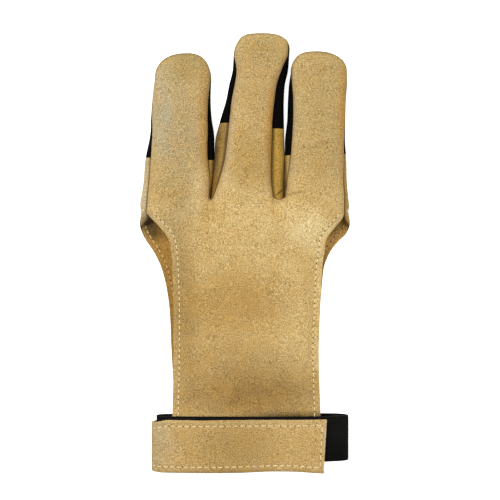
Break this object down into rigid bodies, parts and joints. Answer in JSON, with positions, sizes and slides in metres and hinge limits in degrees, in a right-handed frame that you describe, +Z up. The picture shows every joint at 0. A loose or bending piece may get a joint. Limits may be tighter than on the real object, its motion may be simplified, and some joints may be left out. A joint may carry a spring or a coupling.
{
  "type": "archery_glove",
  "caption": "Three-finger archery shooting glove in tan suede, with black stretch fingers and an elastic wrist loop, lying palm up",
  "frame": {"origin": "middle of the bounding box's underside, where the back of the glove rests", "axes": "+Y from the wrist towards the fingertips, +X across the palm towards the index finger, +Z up out of the palm"},
  "size_m": [0.1048, 0.2188, 0.017],
  "materials": {
    "palm_suede": "tan suede with a soft nap",
    "back_suede": "tan suede with a soft nap",
    "strap_suede": "tan suede with a soft nap",
    "stretch_fabric": "matte black knitted stretch fabric",
    "ribbed_elastic": "black woven elastic with fine ribs",
    "hook_tape": "black fastening tape"
  },
  "bodies": {
    "root": {"palm_leaf": "palm_suede", "back_leaf": "back_suede", "finger_back_ring": "stretch_fabric", "finger_back_middle": "stretch_fabric", "finger_back_index": "stretch_fabric", "gusset_ring_middle": "back_suede", "gusset_middle_index": "back_suede", "wrist_strap": "strap_suede", "elastic_band": "ribbed_elastic", "hook_patch": "hook_tape"}
  },
  "joints": []
}
